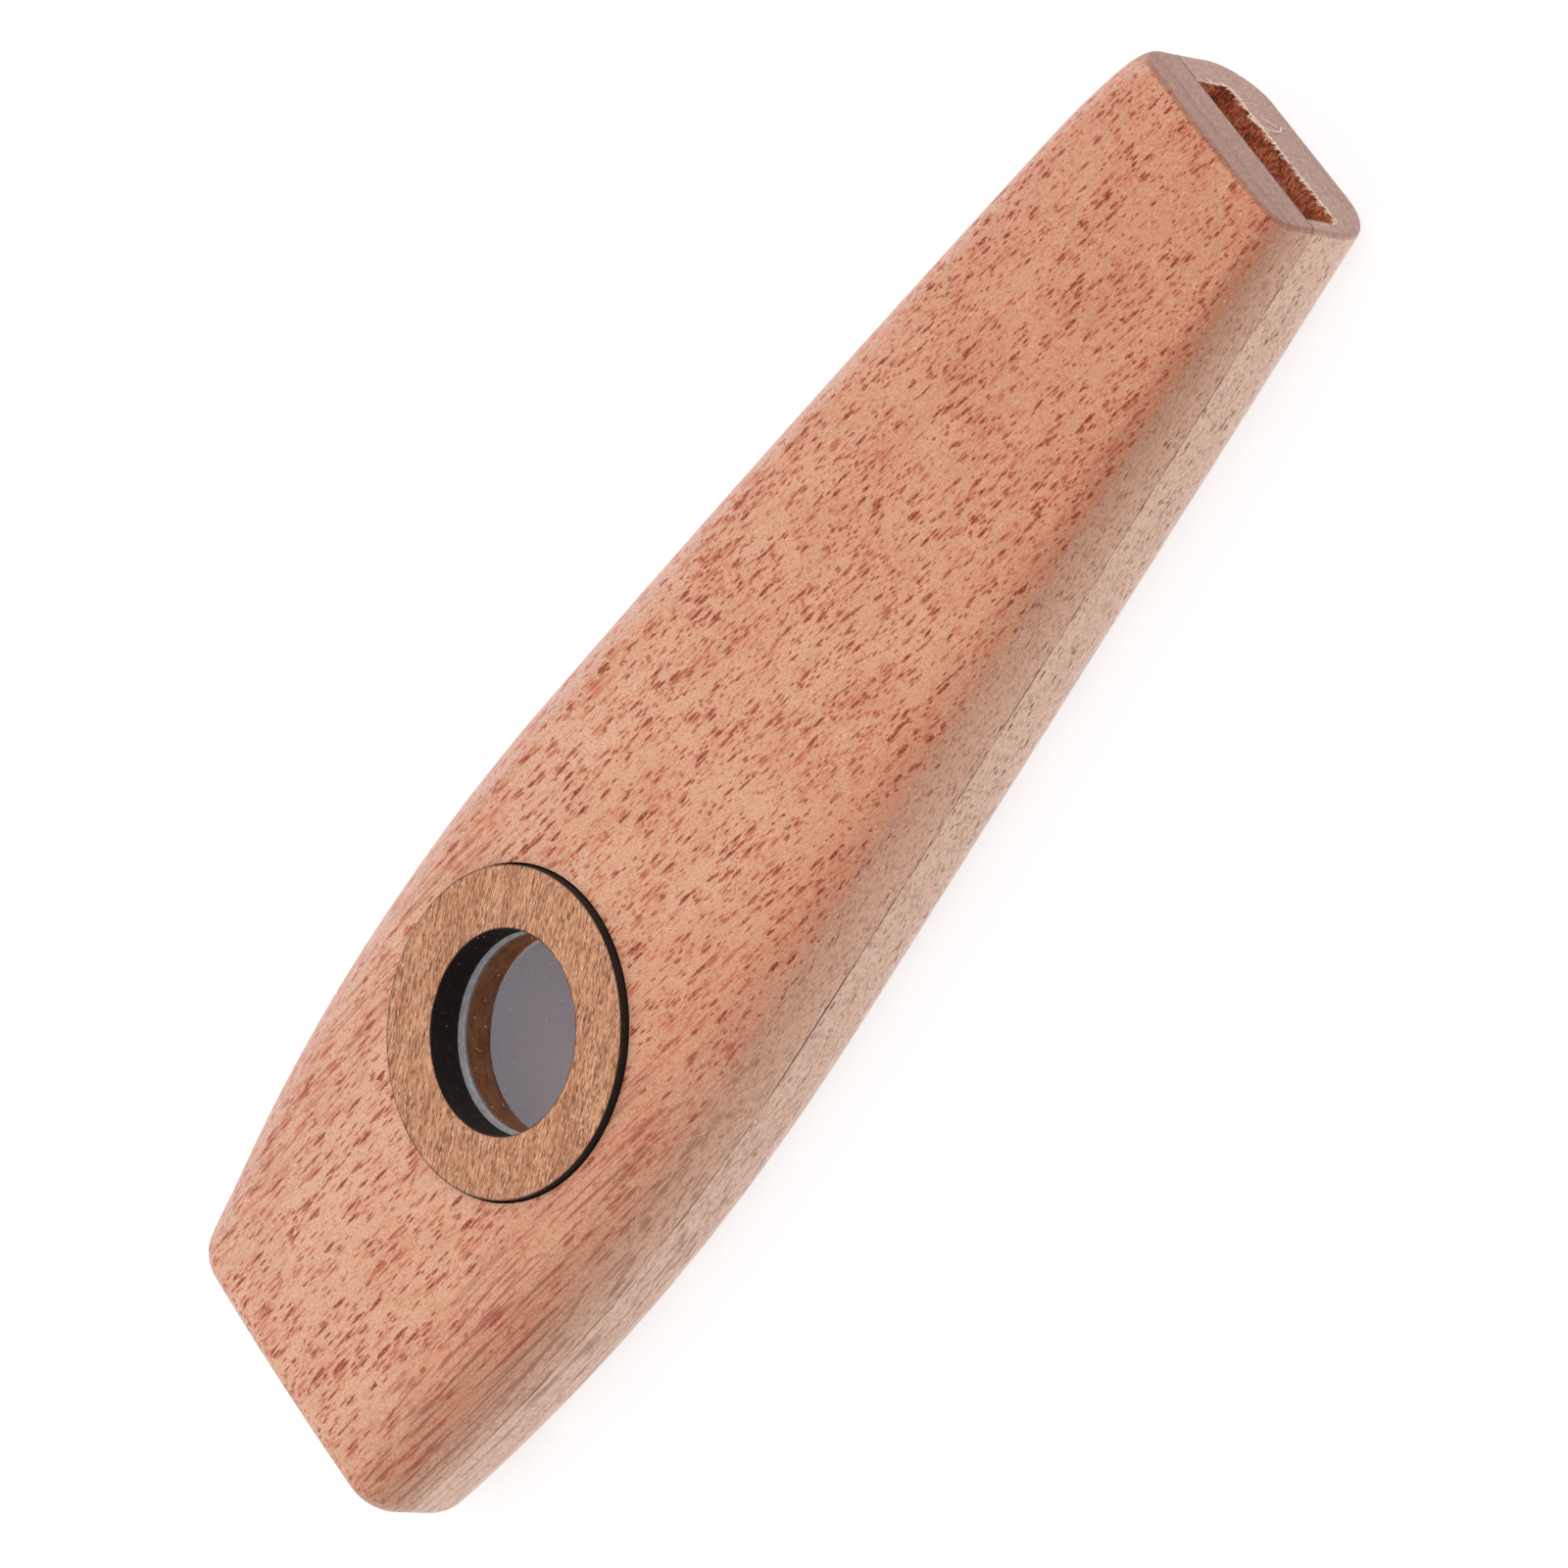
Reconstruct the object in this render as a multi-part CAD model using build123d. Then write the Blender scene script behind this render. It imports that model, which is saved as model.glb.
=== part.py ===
from build123d import *

import os

# Wooden kazoo: two glued wood halves, a membrane in a stepped seat and a ring that holds it down.
# Millimetres. X runs from the tail to the mouth, Y across the body and Z up.
# The origin is under the middle of the length, on the flat face that the kazoo lies on.

# Plan outline: a curve round the belly that runs out into a straight taper up to the mouth,
# which leans a little to one side
LENGTH = 120.0
MOUTH_WIDTH = 18.9
MOUTH_LEAN = 0.35
BELLY_WIDTH = 34.2
TAIL_WIDTH = 27.0
BELLY_FROM_TAIL = 35.0
BELLY_RUN_OUT = 18.0

# Side profile: a flat base and a crest that falls away to both ends
MOUTH_HEIGHT = 11.4
CREST_HEIGHT = 13.6
TAIL_HEIGHT = 10.9
CREST_FROM_TAIL = 45.0
SEAM_HEIGHT = 7.05

# Cross-section: crowned top, rounded corners and a base sanded flat
MOUTH_CROWN = 0.6
BELLY_CROWN = 0.4
MOUTH_TOP_CORNER = 1.9
BELLY_TOP_CORNER = 4.0
BASE_CORNER = 4.7
BASE_SANDING = 0.3
TAIL_EDGE_ROUND = 2.4
MOUTH_EDGE_EASE = 0.3

# A rounded corner takes at most this share of the wall that it rounds
CORNER_SHARE = 0.95

# Straight-sided steps of the body between its cross-sections, closer together round the belly
BELLY_STEPS = 11
TAPER_STEPS = 5

# Air channel, milled in the lower half from the seam down
CHANNEL_DEPTH = 3.5
MOUTH_SIDE_WALL = 2.4
MOUTH_SLOT_SHIFT = -1.2
CHAMBER_MARGIN = 3.0
VENT_WIDTH = 8.0
CUTTER_NOSE = 0.5

# Membrane set, from the sound hole up to the ring. The rim's opening is off the middle.
# Its seat is sunk with the slope of the top, which falls towards the tail: the tilt is in degrees.
SOUND_HOLE_DIAMETER = 14.0
FILM_THICKNESS = 0.1
FILM_CLEARANCE = 0.5
RIM_THICKNESS = 0.25
RIM_OPENING = 14.2
RIM_SHIFT_X = 0.3
RIM_SHIFT_Y = -0.25
RING_FROM_TAIL = 35.5
RING_DIAMETER = 23.6
RING_OPENING = 14.55
RING_THICKNESS = 2.7
RING_PROUD = 0.38
RING_CLEARANCE = 0.15
RING_TILT = 2.0

# Overlength of a cut past the wood, so that it leaves no skin
OVERCUT = 3.0

MOUTH_X = LENGTH / 2
TAIL_X = -LENGTH / 2
BELLY_X = TAIL_X + BELLY_FROM_TAIL
TAPER_X = BELLY_X + BELLY_RUN_OUT
CREST_X = TAIL_X + CREST_FROM_TAIL
RING_X = TAIL_X + RING_FROM_TAIL


def half_width(x):
    """Half of the body's width at x."""
    belly = BELLY_WIDTH / 2
    if x < BELLY_X:
        share = (BELLY_X - x) / BELLY_FROM_TAIL
        return belly - (belly - TAIL_WIDTH / 2) * share**2
    along = x - BELLY_X
    if x < TAPER_X:
        along = along**2 / BELLY_RUN_OUT
    else:
        along = 2 * along - BELLY_RUN_OUT
    whole = 2 * (MOUTH_X - BELLY_X) - BELLY_RUN_OUT
    return belly - (belly - MOUTH_WIDTH / 2) * along / whole


def crest_height(x):
    """Height of the body's middle line at x."""
    if x < CREST_X:
        share = (CREST_X - x) / CREST_FROM_TAIL
        return CREST_HEIGHT - (CREST_HEIGHT - TAIL_HEIGHT) * share**2
    share = (x - CREST_X) / (MOUTH_X - CREST_X)
    return CREST_HEIGHT - (CREST_HEIGHT - MOUTH_HEIGHT) * share**2


def towards_mouth(x, at_belly, at_mouth):
    """Value that stays the same from tail to belly and then changes evenly up to the mouth."""
    share = max(0.0, (x - BELLY_X) / (MOUTH_X - BELLY_X))
    return at_belly + (at_mouth - at_belly) * share


def shoulder_height(x):
    """Height where the crowned top would meet the side, were the corner sharp."""
    return crest_height(x) - towards_mouth(x, BELLY_CROWN, MOUTH_CROWN)


def top_corner(x):
    """Radius of the upper corner at x, which stays in the upper half."""
    radius = towards_mouth(x, BELLY_TOP_CORNER, MOUTH_TOP_CORNER)
    return min(radius, CORNER_SHARE * (shoulder_height(x) - SEAM_HEIGHT))


def base_corner():
    """Radius of the lower corner, which stays in the lower half."""
    return min(BASE_CORNER, CORNER_SHARE * (SEAM_HEIGHT + BASE_SANDING))


def body_section(x):
    """Cross-section at x, as it is before the base is sanded flat."""
    side = half_width(x)
    shoulder = shoulder_height(x)
    base = -BASE_SANDING
    outline = Polyline((-side, shoulder), (-side, base), (side, base), (side, shoulder))
    crown = ThreePointArc((side, shoulder), (0, crest_height(x)), (-side, shoulder))
    section = make_face([outline, crown])
    section = fillet(section.vertices().group_by(Axis.Y)[0], base_corner())
    section = fillet(section.vertices().group_by(Axis.Y)[-1], top_corner(x))
    lean = towards_mouth(x, 0.0, MOUTH_LEAN)
    return Plane.YZ.offset(x) * Pos(lean, 0) * section


def section_places():
    """Places along the body of its cross-sections, from tail to mouth."""
    belly = [TAIL_X + (TAPER_X - TAIL_X) * step / BELLY_STEPS for step in range(BELLY_STEPS)]
    taper = [TAPER_X + (MOUTH_X - TAPER_X) * step / TAPER_STEPS for step in range(TAPER_STEPS + 1)]
    return belly + taper


def end_face(body, end):
    """Flat face at the tail, end 0, or at the mouth, end -1."""
    return body.faces().filter_by(Plane.YZ).sort_by(Axis.X)[end]


def make_body():
    """Whole outer form, before it is parted along the seam."""
    body = loft([body_section(x) for x in section_places()], ruled=True)
    tail_round = min(TAIL_EDGE_ROUND, CORNER_SHARE * min(top_corner(TAIL_X), base_corner()))
    body = fillet(end_face(body, 0).edges(), tail_round)
    body = chamfer(end_face(body, -1).edges(), MOUTH_EDGE_EASE)
    return split(body, bisect_by=Plane.XY, keep=Keep.TOP)


def channel_cutter():
    """Space of the air channel: a lane from the mouth, a round chamber and a narrow vent."""
    lane_half = MOUTH_WIDTH / 2 - MOUTH_SIDE_WALL
    lane_middle = MOUTH_LEAN + MOUTH_SLOT_SHIFT
    lane_low = lane_middle - lane_half
    lane_high = lane_middle + lane_half
    chamber = SOUND_HOLE_DIAMETER / 2 + CHAMBER_MARGIN
    lane = Polyline(
        (RING_X, -chamber),
        (MOUTH_X, lane_low),
        (MOUTH_X + OVERCUT, lane_low),
        (MOUTH_X + OVERCUT, lane_high),
        (MOUTH_X, lane_high),
        (RING_X, chamber),
        close=True,
    )
    vent_length = RING_FROM_TAIL + OVERCUT
    vent = Pos(RING_X - vent_length / 2, 0) * Rectangle(vent_length, VENT_WIDTH)
    plan = make_face(lane) + Pos(RING_X, 0) * Circle(chamber) + vent
    cutter = Pos(0, 0, SEAM_HEIGHT - CHANNEL_DEPTH) * extrude(plan, CHANNEL_DEPTH)
    return fillet(cutter.edges().group_by(Axis.Z)[0], CUTTER_NOSE)


def disc(diameter, low, high):
    """Round plate on the ring's tilted axis, between two heights above the top of the body there."""
    place = Pos(RING_X, 0, crest_height(RING_X)) * Rot(0, -RING_TILT, 0)
    return place * Pos(0, 0, low) * extrude(Circle(diameter / 2), high - low)


# Heights of the membrane set above the top of the body, from the ring's proud face down to the sound hole's end
ring_top = RING_PROUD
ring_base = ring_top - RING_THICKNESS
film_top = ring_base - RIM_THICKNESS
seat = film_top - FILM_THICKNESS
hole_end = SEAM_HEIGHT - crest_height(RING_X) - OVERCUT
seat_diameter = RING_DIAMETER + 2 * RING_CLEARANCE
film_diameter = seat_diameter - 2 * FILM_CLEARANCE

body = make_body()
seam = Plane.XY.offset(SEAM_HEIGHT)

lower_half = split(body, bisect_by=seam, keep=Keep.BOTTOM) - channel_cutter()

upper_half = split(body, bisect_by=seam, keep=Keep.TOP)
upper_half -= disc(seat_diameter, seat, ring_top + OVERCUT)
upper_half -= disc(SOUND_HOLE_DIAMETER, hole_end, seat)

retaining_ring = disc(RING_DIAMETER, ring_base, ring_top) - disc(RING_OPENING, ring_base, ring_top)
rim_opening = Pos(RIM_SHIFT_X, RIM_SHIFT_Y) * disc(RIM_OPENING, film_top - OVERCUT, ring_top)
membrane_rim = disc(film_diameter, film_top, ring_base) - rim_opening
membrane = disc(film_diameter, seat, film_top)

nodes = {
    "upper_half": upper_half,
    "lower_half": lower_half,
    "retaining_ring": retaining_ring,
    "membrane_rim": membrane_rim,
    "membrane": membrane,
}

os.makedirs("parts", exist_ok=True)
for name, shape in nodes.items():
    export_step(shape, f"parts/{name}.step")
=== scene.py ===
import math

import bmesh
import bpy
from mathutils import Matrix, Vector, noise


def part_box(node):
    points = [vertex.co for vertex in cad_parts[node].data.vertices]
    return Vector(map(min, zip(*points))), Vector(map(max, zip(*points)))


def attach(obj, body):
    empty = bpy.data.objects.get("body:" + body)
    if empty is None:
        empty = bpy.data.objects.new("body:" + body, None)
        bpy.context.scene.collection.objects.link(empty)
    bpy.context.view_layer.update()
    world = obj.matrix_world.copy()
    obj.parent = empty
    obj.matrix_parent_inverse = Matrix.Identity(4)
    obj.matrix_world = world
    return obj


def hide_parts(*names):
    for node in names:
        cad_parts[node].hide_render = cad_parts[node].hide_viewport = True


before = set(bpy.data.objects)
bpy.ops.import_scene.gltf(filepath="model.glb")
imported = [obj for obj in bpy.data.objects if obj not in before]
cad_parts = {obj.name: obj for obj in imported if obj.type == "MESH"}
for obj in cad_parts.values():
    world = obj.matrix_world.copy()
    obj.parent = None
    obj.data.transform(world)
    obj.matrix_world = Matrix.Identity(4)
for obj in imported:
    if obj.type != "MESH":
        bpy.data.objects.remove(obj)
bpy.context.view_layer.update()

MM = 0.001

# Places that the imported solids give
TAIL_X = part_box("upper_half")[0].x
MOUTH_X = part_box("upper_half")[1].x
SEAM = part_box("upper_half")[0].z

# Outer form of the body, as in the solids
MOUTH_WIDTH = 18.9 * MM
MOUTH_LEAN = 0.35 * MM
BELLY_WIDTH = 34.2 * MM
TAIL_WIDTH = 27.0 * MM
BELLY_FROM_TAIL = 35.0 * MM
BELLY_RUN_OUT = 18.0 * MM
MOUTH_HEIGHT = 11.4 * MM
CREST_HEIGHT = 13.6 * MM
TAIL_HEIGHT = 10.9 * MM
CREST_FROM_TAIL = 45.0 * MM
MOUTH_CROWN = 0.6 * MM
BELLY_CROWN = 0.4 * MM
BELLY_TOP_CORNER = 4.0 * MM
BASE_CORNER = 4.7 * MM
BASE_SANDING = 0.3 * MM
TAIL_EDGE_ROUND = 2.4 * MM
CORNER_SHARE = 0.95

# Mouth edges as hand sanding left them: the far corner is rounded off towards its end,
# and the far side is eased more and over a longer run
NEAR_MOUTH_CORNER = 1.7 * MM
FAR_MOUTH_CORNER = 1.3 * MM
FAR_END_ROUND = 2.0 * MM
FAR_END_RUN = 9.0 * MM
MOUTH_EDGE_EASE = 0.42 * MM
FAR_EASE = 1.1 * MM
FAR_EASE_RUN = 2.6 * MM

# Air channel and sound hole, as in the solids
CHANNEL_DEPTH = 3.5 * MM
MOUTH_SIDE_WALL = 2.4 * MM
MOUTH_SLOT_SHIFT = -1.2 * MM
CHAMBER_RADIUS = 10.0 * MM
VENT_WIDTH = 8.0 * MM
CUTTER_NOSE = 0.5 * MM
SOUND_HOLE_RADIUS = 7.0 * MM
OVERCUT = 3.0 * MM

# Membrane set, as in the solids: it tilts with the top, and its heights are above the top of the body there
RING_FROM_TAIL = 35.5 * MM
RING_TILT = math.radians(2.0)
RING_RADIUS = 11.8 * MM
RING_OPENING_RADIUS = 7.275 * MM
RING_CLEARANCE = 0.15 * MM
RING_THICKNESS = 2.7 * MM
RING_EDGE_EASE = 0.06 * MM
RIM_THICKNESS = 0.25 * MM
RIM_EASE = 0.04 * MM
FILM_THICKNESS = 0.1 * MM
FILM_CLEARANCE = 0.5 * MM
SEAT_RADIUS = RING_RADIUS + RING_CLEARANCE
FILM_RADIUS = SEAT_RADIUS - FILM_CLEARANCE
RIM_OPENING_RADIUS = 7.1 * MM
RIM_SHIFT = Vector((0.3, -0.25, 0.0)) * MM
RING_TOP = 0.38 * MM
RING_BASE = RING_TOP - RING_THICKNESS
FILM_TOP = RING_BASE - RIM_THICKNESS
SEAT = FILM_TOP - FILM_THICKNESS

# How finely the skin is divided
STATION_STEP = 0.5 * MM
END_STEPS = 10
WALL_STEPS = 6
CORNER_STEPS = 14
CROWN_STEPS = 26
BASE_STEPS = 14
TURN_STEPS = 192
FILM_STEPS = 24
FLOOR_STEPS = 150
NOSE_STEPS = 8
CHAMBER_STEPS = 60
LANE_STEPS = 16
LIP_STEPS = 14
SHARP_ANGLE = math.radians(32)

# The glue line: the skin dips into it, more where the joint stands open
SEAM_ROWS = [0.0, 0.03 * MM, 0.07 * MM, 0.13 * MM]
SEAM_DIP = 0.025 * MM
SEAM_GAPE = 0.16 * MM
SEAM_GAPE_X = -7.5 * MM
SEAM_GAPE_RUN = 4.0 * MM

BELLY_X = TAIL_X + BELLY_FROM_TAIL
TAPER_X = BELLY_X + BELLY_RUN_OUT
CREST_X = TAIL_X + CREST_FROM_TAIL
RING_X = TAIL_X + RING_FROM_TAIL


def half_width(x):
    """Half of the body's width at x."""
    belly = BELLY_WIDTH / 2
    if x < BELLY_X:
        share = (BELLY_X - x) / BELLY_FROM_TAIL
        return belly - (belly - TAIL_WIDTH / 2) * share**2
    along = x - BELLY_X
    if x < TAPER_X:
        along = along**2 / BELLY_RUN_OUT
    else:
        along = 2 * along - BELLY_RUN_OUT
    whole = 2 * (MOUTH_X - BELLY_X) - BELLY_RUN_OUT
    return belly - (belly - MOUTH_WIDTH / 2) * along / whole


def crest_height(x):
    """Height of the body's middle line at x."""
    if x < CREST_X:
        share = (CREST_X - x) / CREST_FROM_TAIL
        return CREST_HEIGHT - (CREST_HEIGHT - TAIL_HEIGHT) * share**2
    share = (x - CREST_X) / (MOUTH_X - CREST_X)
    return CREST_HEIGHT - (CREST_HEIGHT - MOUTH_HEIGHT) * share**2


# From the membrane set's own frame to the body's
SET_FRAME = Matrix.Translation((RING_X, 0, crest_height(RING_X))) @ Matrix.Rotation(-RING_TILT, 4, "Y")


def towards_mouth(x, at_belly, at_mouth):
    """Value that stays the same from tail to belly and then changes evenly up to the mouth."""
    share = max(0.0, (x - BELLY_X) / (MOUTH_X - BELLY_X))
    return at_belly + (at_mouth - at_belly) * share


def seam_dip(x, side):
    """Depth of the glue line in the skin at x, on the side that the sign names."""
    wander = noise.noise(Vector((x / (2.5 * MM), 7.0 * side, 0.0)))
    dip = SEAM_DIP * (1 + 0.8 * wander)
    if side < 0:
        dip += SEAM_GAPE * math.exp(-(((x - SEAM_GAPE_X) / SEAM_GAPE_RUN) ** 2))
    return dip


def wall(y, start, end):
    """Points up or down the side, close together at the glue line."""
    away = 1 if end > start else -1
    rows = [start + away * row for row in SEAM_ROWS]
    last = rows[-1]
    rows += [last + (end - last) * step / WALL_STEPS for step in range(1, WALL_STEPS + 1)]
    return [(y, z) for z in rows]


def side_inset(x, inset, far):
    """Inset of the side wall, which is larger where the far side is eased at the mouth."""
    if not far:
        return inset
    share = max(0.0, 1 - (MOUTH_X - x) / FAR_EASE_RUN)
    return max(inset, FAR_EASE * (1 - math.sqrt(1 - min(1.0, share) ** 2)))


def lid_outline(x, inset, far):
    """One side of the upper half's cross-section, from the seam to the middle of the crown."""
    side = half_width(x)
    wall_inset = side_inset(x, inset, far)
    crown = towards_mouth(x, BELLY_CROWN, MOUTH_CROWN)
    shoulder = crest_height(x) - crown
    radius = (side**2 + crown**2) / (2 * crown)
    centre = crest_height(x) - radius
    corner = towards_mouth(x, BELLY_TOP_CORNER, FAR_MOUTH_CORNER if far else NEAR_MOUTH_CORNER)
    if far:
        corner += FAR_END_ROUND * max(0.0, 1 - (MOUTH_X - x) / FAR_END_RUN) ** 2
    corner = min(corner, CORNER_SHARE * (shoulder - SEAM))
    corner_y = side - corner
    corner_z = centre + math.sqrt((radius - corner) ** 2 - corner_y**2)
    lean = math.atan2(corner_y, corner_z - centre)
    points = wall(side - wall_inset, SEAM, corner_z)
    for step in range(1, CORNER_STEPS + 1):
        turn = (math.pi / 2 - lean) * step / CORNER_STEPS
        reach = corner - wall_inset - (inset - wall_inset) * step / CORNER_STEPS
        points.append((corner_y + reach * math.cos(turn), corner_z + reach * math.sin(turn)))
    for step in range(1, CROWN_STEPS + 1):
        turn = lean * (1 - step / CROWN_STEPS)
        reach = radius - inset
        points.append((reach * math.sin(turn), centre + reach * math.cos(turn)))
    return points


def tray_outline(x, inset, far):
    """One side of the lower half's cross-section, from the seam to the middle of the base."""
    wall_inset = side_inset(x, inset, far)
    corner_y = half_width(x) - BASE_CORNER
    corner_z = BASE_CORNER - BASE_SANDING
    last_turn = math.asin(min(1.0, corner_z / (BASE_CORNER - inset)))
    points = wall(half_width(x) - wall_inset, SEAM, corner_z)
    for step in range(1, CORNER_STEPS + 1):
        turn = last_turn * step / CORNER_STEPS
        reach = BASE_CORNER - wall_inset - (inset - wall_inset) * step / CORNER_STEPS
        points.append((corner_y + reach * math.cos(turn), corner_z - reach * math.sin(turn)))
    edge, base = points[-1]
    points += [(edge * (1 - step / BASE_STEPS), base) for step in range(1, BASE_STEPS + 1)]
    return points


def stations():
    """Places along the body, each with its inset: both ends are rounded over."""
    tail = []
    mouth = []
    for step in range(END_STEPS):
        turn = math.pi / 2 * step / END_STEPS
        along = 1 - math.cos(turn)
        inset = 1 - math.sin(turn)
        tail.append((TAIL_X + TAIL_EDGE_ROUND * along, TAIL_EDGE_ROUND * inset))
        mouth.append((MOUTH_X - MOUTH_EDGE_EASE * along, MOUTH_EDGE_EASE * inset))
    start = TAIL_X + TAIL_EDGE_ROUND
    eased = MOUTH_X - FAR_EASE_RUN
    count = round((eased - start) / STATION_STEP)
    middle = [(start + (eased - start) * step / count, 0.0) for step in range(count)]
    run = MOUTH_X - MOUTH_EDGE_EASE - eased
    middle += [(eased + run * step / END_STEPS, 0.0) for step in range(END_STEPS + 1)]
    return tail + middle + mouth[::-1]


def skin_loop(x, inset, outline):
    """Closed loop of points at x: both sides of the outline, with the glue line dipped on each."""
    middle = towards_mouth(x, 0.0, MOUTH_LEAN)
    loop = []
    for side in (1, -1):
        half = []
        for row, (y, z) in enumerate(outline(x, inset, side > 0)):
            if row < len(SEAM_ROWS):
                y -= seam_dip(x, side) * (1 - row / len(SEAM_ROWS)) ** 2
            half.append(Vector((x, middle + side * y, z)))
        loop += half if side > 0 else half[-2::-1]
    return loop


def object_from(name, mesh):
    """Puts a mesh in the scene as a piece of that name."""
    piece = bpy.data.objects.new(name, mesh)
    bpy.context.scene.collection.objects.link(piece)
    return piece


def piece_from(name, work):
    """Ends the work on a mesh, with its normals outwards, and puts it in the scene as a piece."""
    bmesh.ops.recalc_face_normals(work, faces=work.faces)
    mesh = bpy.data.meshes.new(name)
    work.to_mesh(mesh)
    work.free()
    return object_from(name, mesh)


def skinned(name, loops, hoop=False):
    """Closed piece through a row of loops: with flat ends, or as a hoop back to the first loop."""
    work = bmesh.new()
    rings = [[work.verts.new(point) for point in loop] for loop in loops]
    for ring, following in zip(rings, rings[1:] + rings[:1] if hoop else rings[1:]):
        for index in range(len(ring)):
            after = (index + 1) % len(ring)
            work.faces.new((ring[index], ring[after], following[after], following[index]))
    if not hoop:
        work.faces.new(rings[0])
        work.faces.new(rings[-1])
    return piece_from(name, work)


def circle(centre, radius, height):
    """Points round a circle in the membrane set's frame, given where they are on the body."""
    turns = [2 * math.pi * step / TURN_STEPS for step in range(TURN_STEPS)]
    points = [(centre.x + radius * math.cos(turn), centre.y + radius * math.sin(turn)) for turn in turns]
    return [SET_FRAME @ Vector((x, y, height)) for x, y in points]


def spun(name, profile):
    """Closed piece turned about the ring's axis, from radii and heights that start and end on it."""
    work = bmesh.new()
    axis = Vector()
    tips = [SET_FRAME @ Vector((0, 0, height)) for radius, height in (profile[0], profile[-1])]
    ends = [work.verts.new(tip) for tip in tips]
    loops = [circle(axis, radius, height) for radius, height in profile[1:-1]]
    rings = [[work.verts.new(point) for point in loop] for loop in loops]
    for index in range(TURN_STEPS):
        after = (index + 1) % TURN_STEPS
        work.faces.new((ends[0], rings[0][index], rings[0][after]))
        work.faces.new((ends[1], rings[-1][after], rings[-1][index]))
        for ring, following in zip(rings, rings[1:]):
            work.faces.new((ring[index], following[index], following[after], ring[after]))
    return piece_from(name, work)


def settle(piece):
    """Turns what the piece's modifiers give into its plain mesh."""
    ready = piece.evaluated_get(bpy.context.evaluated_depsgraph_get())
    mesh = bpy.data.meshes.new_from_object(ready)
    mesh.name = piece.name
    piece.modifiers.clear()
    piece.data = mesh
    return piece


def carve(piece, cutter):
    """Cuts the cutter's space out of a piece and removes the cutter."""
    cut = piece.modifiers.new("cut", "BOOLEAN")
    cut.operation = "DIFFERENCE"
    cut.solver = "EXACT"
    cut.object = cutter
    settle(piece)
    bpy.data.objects.remove(cutter)


def soften(mesh):
    """Smooth shading everywhere but across real edges."""
    work = bmesh.new()
    work.from_mesh(mesh)
    for face in work.faces:
        face.smooth = True
    for edge in work.edges:
        edge.smooth = len(edge.link_faces) == 2 and edge.calc_face_angle(0) < SHARP_ANGLE
    work.to_mesh(mesh)
    work.free()


def lane_walls(x):
    """Low and high side of the air channel at x: the lane, the round chamber or the vent."""
    lane_half = MOUTH_WIDTH / 2 - MOUTH_SIDE_WALL
    lane_middle = MOUTH_LEAN + MOUTH_SLOT_SHIFT
    low = -VENT_WIDTH / 2
    high = VENT_WIDTH / 2
    if x > RING_X:
        share = min(1.0, (x - RING_X) / (MOUTH_X - RING_X))
        low = -CHAMBER_RADIUS + share * (lane_middle - lane_half + CHAMBER_RADIUS)
        high = CHAMBER_RADIUS + share * (lane_middle + lane_half - CHAMBER_RADIUS)
    away = abs(x - RING_X)
    if away < CHAMBER_RADIUS:
        chamber = math.sqrt(CHAMBER_RADIUS**2 - away**2)
        low = min(low, -chamber)
        high = max(high, chamber)
    return low, high


# The torn lower lip of the mouth slot
LIP_RUN = 0.7 * MM
LIP_RAGGED = 0.22 * MM
LIP_TEETH = 0.28 * MM


def lip_tear(x, y):
    """How far the torn lip of the slot stands into the channel at a place near the mouth."""
    nearness = max(0.0, 1 - (MOUTH_X - x) / LIP_RUN)
    coarse = noise.noise(Vector((y / (3 * LIP_TEETH), 3.0, 0.0)))
    fine = noise.noise(Vector((y / LIP_TEETH, 11.0, x / LIP_TEETH)))
    return LIP_RAGGED * nearness * max(0.0, 0.35 + 0.6 * coarse + 0.8 * fine)


def channel_places():
    """Places along the air channel's cutter, close together round the chamber and at the lip."""
    far = TAIL_X - OVERCUT
    back = RING_X - CHAMBER_RADIUS
    front = RING_X + CHAMBER_RADIUS
    turns = [math.pi * step / CHAMBER_STEPS for step in range(CHAMBER_STEPS + 1)]
    chamber = [RING_X - CHAMBER_RADIUS * math.cos(turn) for turn in turns]
    lane_run = MOUTH_X - 2 * LIP_RUN - front
    lane = [front + lane_run * step / LANE_STEPS for step in range(1, LANE_STEPS + 1)]
    lip = [MOUTH_X - 2 * LIP_RUN * (1 - step / LIP_STEPS) for step in range(1, LIP_STEPS + 1)]
    return [far, (far + back) / 2, back - 0.01 * MM] + chamber + lane + lip + [MOUTH_X + OVERCUT]


def channel_loop(x):
    """Cross-section of the air channel at x, open above the seam, with a round-nosed floor."""
    low, high = lane_walls(x)
    floor = SEAM - CHANNEL_DEPTH
    top = SEAM + OVERCUT
    loop = [Vector((x, low, top))]
    for step in range(FLOOR_STEPS + 1):
        turn = math.pi / 2 * min(1.0, step / NOSE_STEPS, (FLOOR_STEPS - step) / NOSE_STEPS)
        share = max(0.0, min(1.0, (step - NOSE_STEPS) / (FLOOR_STEPS - 2 * NOSE_STEPS)))
        y = low + CUTTER_NOSE + share * (high - low - 2 * CUTTER_NOSE)
        if step < NOSE_STEPS:
            y -= CUTTER_NOSE * math.cos(turn)
        if step > FLOOR_STEPS - NOSE_STEPS:
            y += CUTTER_NOSE * math.cos(turn)
        z = floor + CUTTER_NOSE * (1 - math.sin(turn)) + lip_tear(x, y)
        loop.append(Vector((x, y, z)))
    loop.append(Vector((x, high, top)))
    return loop


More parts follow.
